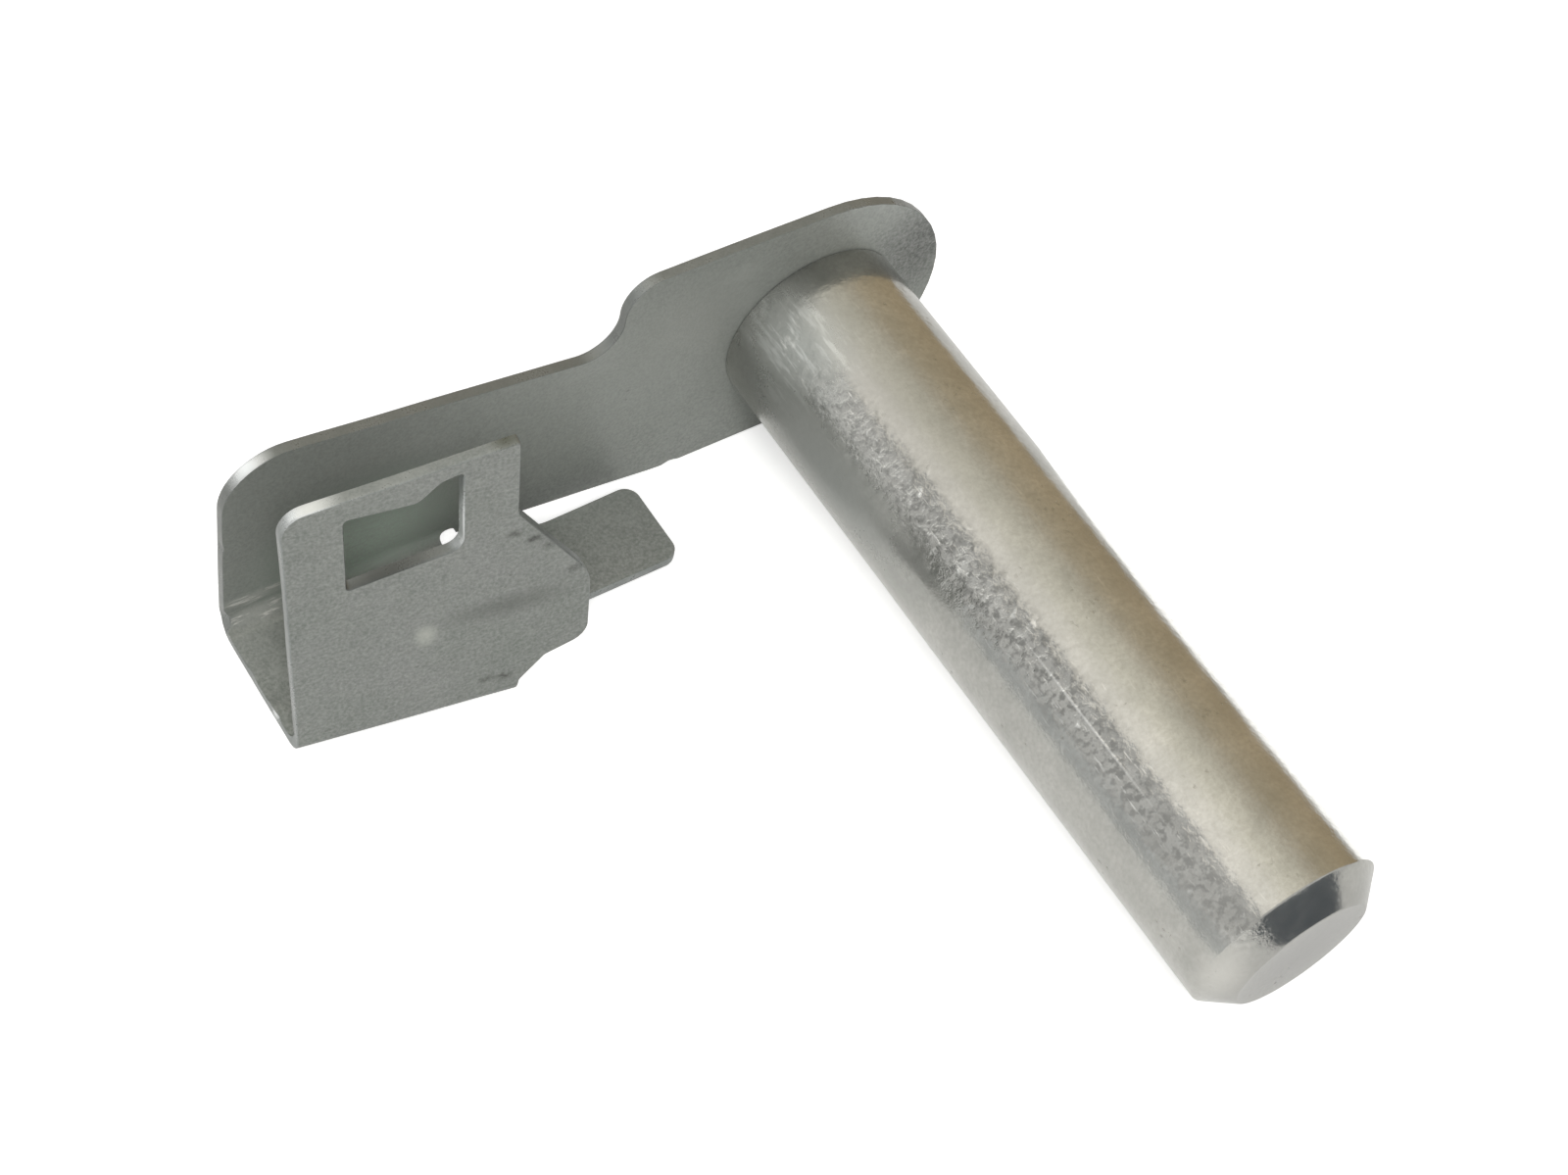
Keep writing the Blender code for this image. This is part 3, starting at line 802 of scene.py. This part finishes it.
def pale_floor():
    """A plain white floor that takes the object's shadow and glows for the camera and a little in metal."""
    material = bpy.data.materials.new("pale_floor")
    material.use_nodes = True
    tree = material.node_tree
    surface = tree.nodes["Principled BSDF"]
    set_inputs(surface, {"Base Color": FLOOR_COLOUR, "Roughness": 0.9, "Emission Color": (1, 1, 1, 1)})
    path = add_node(tree, "ShaderNodeLightPath", (-900, -300))
    through = add_node(tree, "ShaderNodeMath", (-700, -300), {"operation": "MAXIMUM"})
    in_metal = add_node(tree, "ShaderNodeMath", (-500, -300), {"operation": "MULTIPLY"})
    glow = add_node(tree, "ShaderNodeMath", (-300, -300), {"operation": "MULTIPLY_ADD"})
    in_metal.inputs[1].default_value = FLOOR_GLOW_IN_METAL
    glow.inputs[1].default_value = FLOOR_GLOW
    links = tree.links
    links.new(path.outputs["Is Glossy Ray"], through.inputs[0])
    links.new(path.outputs["Is Transmission Ray"], through.inputs[1])
    links.new(through.outputs["Value"], in_metal.inputs[0])
    links.new(path.outputs["Is Camera Ray"], glow.inputs[0])
    links.new(in_metal.outputs["Value"], glow.inputs[2])
    links.new(glow.outputs["Value"], surface.inputs["Emission Strength"])
    return material


def resting_floor():
    """The floor under the three points that the object rests on, a hair below them."""
    pin_foot = Vector((0, PIN_CHAMFER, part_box("lock_pin")[0].z))
    head_foot = Vector((0, PLATE_FACE_Y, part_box("clip_plate")[0].z))
    up = (LEG_FOOT - pin_foot).cross(head_foot - pin_foot).normalized()
    if up.z < 0:
        up = -up
    floor = panel("floor", FLOOR_WIDTH, FLOOR_WIDTH, pale_floor())
    floor.matrix_world = facing(pin_foot - up * FLOOR_DROP, up)


def pale_room():
    """The room's light, which is brighter where it is seen straight, in metal or through glass."""
    world = bpy.data.worlds.new("pale_room")
    world.use_nodes = True
    tree = world.node_tree
    background = tree.nodes["Background"]
    background.inputs["Color"].default_value = ROOM_COLOUR
    path = add_node(tree, "ShaderNodeLightPath", (-900, -100))
    seen = add_node(tree, "ShaderNodeMath", (-700, -100), {"operation": "MAXIMUM"})
    shown = add_node(tree, "ShaderNodeMath", (-500, -100), {"operation": "MAXIMUM"})
    level = add_node(tree, "ShaderNodeMapRange", (-200, -100), To_Min=ROOM_LIGHT, To_Max=ROOM_SHOWN)
    links = tree.links
    links.new(path.outputs["Is Camera Ray"], seen.inputs[0])
    links.new(path.outputs["Is Glossy Ray"], seen.inputs[1])
    links.new(seen.outputs["Value"], shown.inputs[0])
    links.new(path.outputs["Is Transmission Ray"], shown.inputs[1])
    links.new(shown.outputs["Value"], level.inputs["Value"])
    links.new(level.outputs["Result"], background.inputs["Strength"])
    bpy.context.scene.world = world


def glow_material(name):
    """A material that only glows, and the node that sets its colour."""
    material = bpy.data.materials.new(name)
    material.use_nodes = True
    tree = material.node_tree
    tree.nodes.remove(tree.nodes["Principled BSDF"])
    glow = add_node(tree, "ShaderNodeEmission", (100, 0))
    tree.links.new(glow.outputs["Emission"], tree.nodes["Material Output"].inputs["Surface"])
    return material, glow


def metal_only(card):
    """Leaves a card in the metal's reflections alone: it gives no light or shade."""
    card.visible_camera = False
    card.visible_shadow = False
    card.visible_diffuse = False


def studio_card(name, middle, towards, width, height, colour):
    """A flat card seen only in the metal, facing back along its direction."""
    material, glow = glow_material(name)
    glow.inputs["Color"].default_value = (*colour, 1)
    card = panel(name, width, height, material)
    card.matrix_world = facing(middle, towards)
    metal_only(card)


def angle_glow(name, stops):
    """A glow whose colour changes with the angle above +X, from the first stop's angle to the last's."""
    first = stops[0][0]
    last = stops[-1][0]
    material, glow = glow_material(name)
    tree = material.node_tree
    place = add_node(tree, "ShaderNodeTexCoord", (-1000, 0))
    parts = add_node(tree, "ShaderNodeSeparateXYZ", (-800, 0))
    angle = add_node(tree, "ShaderNodeMath", (-600, 0), {"operation": "ARCTAN2"})
    share = add_node(tree, "ShaderNodeMapRange", (-400, 0), From_Min=radians(first), From_Max=radians(last))
    ramp = add_node(tree, "ShaderNodeValToRGB", (-200, 0))
    glow.inputs["Strength"].default_value = ARCH_LEVEL
    elements = ramp.color_ramp.elements
    elements.remove(elements[1])
    for degrees, colour in stops:
        element = elements[0] if degrees == first else elements.new((degrees - first) / (last - first))
        element.color = (*(value / ARCH_LEVEL for value in colour), 1)
    links = tree.links
    links.new(place.outputs["Object"], parts.inputs["Vector"])
    links.new(parts.outputs["Z"], angle.inputs[0])
    links.new(parts.outputs["X"], angle.inputs[1])
    links.new(angle.outputs["Value"], share.inputs["Value"])
    links.new(share.outputs["Result"], ramp.inputs["Fac"])
    links.new(ramp.outputs["Color"], glow.inputs["Color"])
    return material


def arched_card(name, radius, low_y, high_y, stops):
    """A card arched over the pin between the angles of its first and last colour."""
    low_angle = radians(stops[0][0])
    high_angle = radians(stops[-1][0])
    mesh = bmesh.new()
    ends = [mesh.verts.new((radius * cos(low_angle), y, radius * sin(low_angle))) for y in (low_y, high_y)]
    side = mesh.edges.new(ends)
    bmesh.ops.spin(
        mesh,
        geom=ends + [side],
        cent=(0, 0, 0),
        axis=(0, -1, 0),
        angle=high_angle - low_angle,
        steps=ARCH_STEPS,
    )
    card = new_object(name, mesh, (angle_glow(name, stops),))
    metal_only(card)


def soft_lamp(name, towards, distance, width, height, watts, colour):
    """A rectangular soft lamp pointed at the object, which the metal doesn't mirror."""
    ahead = Vector(towards).normalized()
    lamp = bpy.data.lights.new(name, "AREA")
    lamp.shape = "RECTANGLE"
    lamp.size = width
    lamp.size_y = height
    lamp.energy = watts
    lamp.color = colour
    made = bpy.data.objects.new(name, lamp)
    made.matrix_world = facing(MIDDLE + ahead * distance, ahead)
    made.visible_glossy = False
    bpy.context.scene.collection.objects.link(made)


def studio():
    """A pale room, two soft lamps and the cards that the metal shows."""
    pale_room()
    soft_lamp(
        "overhead_lamp",
        towards=(-0.55, 0.41, 0.73),
        distance=0.5,
        width=0.30,
        height=0.26,
        watts=0.6,
        colour=(1.0, 0.985, 0.95),
    )
    soft_lamp(
        "front_lamp",
        towards=(-0.31, -0.48, 0.82),
        distance=0.6,
        width=0.18,
        height=0.18,
        watts=2.2,
        colour=(1.0, 1.0, 0.985),
    )
    arched_card("arched_card", radius=0.3, low_y=-0.10, high_y=0.60, stops=ARCH_COLOURS)
    arched_card("window_card", radius=0.29, low_y=0.21, high_y=0.60, stops=WINDOW_COLOURS)
    studio_card(
        "dark_card",
        middle=TIP_CARD_TOWARDS * TIP_CARD_DISTANCE + mm(-1, 0.5, 7),
        towards=TIP_CARD_TOWARDS,
        width=49 * MM,
        height=27 * MM,
        colour=(0.15, 0.165, 0.18),
    )
    studio_card(
        "left_card",
        middle=mm(-30, 9.5, -1.5),
        towards=(-1, 0, 0),
        width=43 * MM,
        height=9 * MM,
        colour=(0.66, 0.68, 0.68),
    )
    studio_card(
        "right_card",
        middle=mm(26, 17, -4.8),
        towards=(0, 0, -1),
        width=42 * MM,
        height=28 * MM,
        colour=(1.9, 1.9, 1.9),
    )


def photo_camera():
    """The camera where the photograph was taken from."""
    right = CAMERA_RIGHT.normalized()
    ahead = right.cross(CAMERA_DOWN).normalized()
    down = ahead.cross(right).normalized()
    data = bpy.data.cameras.new("photo_camera")
    data.sensor_width = CAMERA_SENSOR
    data.lens = CAMERA_LENS
    data.clip_start = 1 * MM
    camera = bpy.data.objects.new("photo_camera", data)
    turn = Matrix((right, -down, -ahead)).transposed()
    camera.matrix_world = Matrix.Translation(CAMERA_PLACE) @ turn.to_4x4()
    bpy.context.scene.collection.objects.link(camera)
    bpy.context.scene.camera = camera


resting_floor()
studio()
photo_camera()
bpy.context.scene.view_settings.view_transform = "Standard"
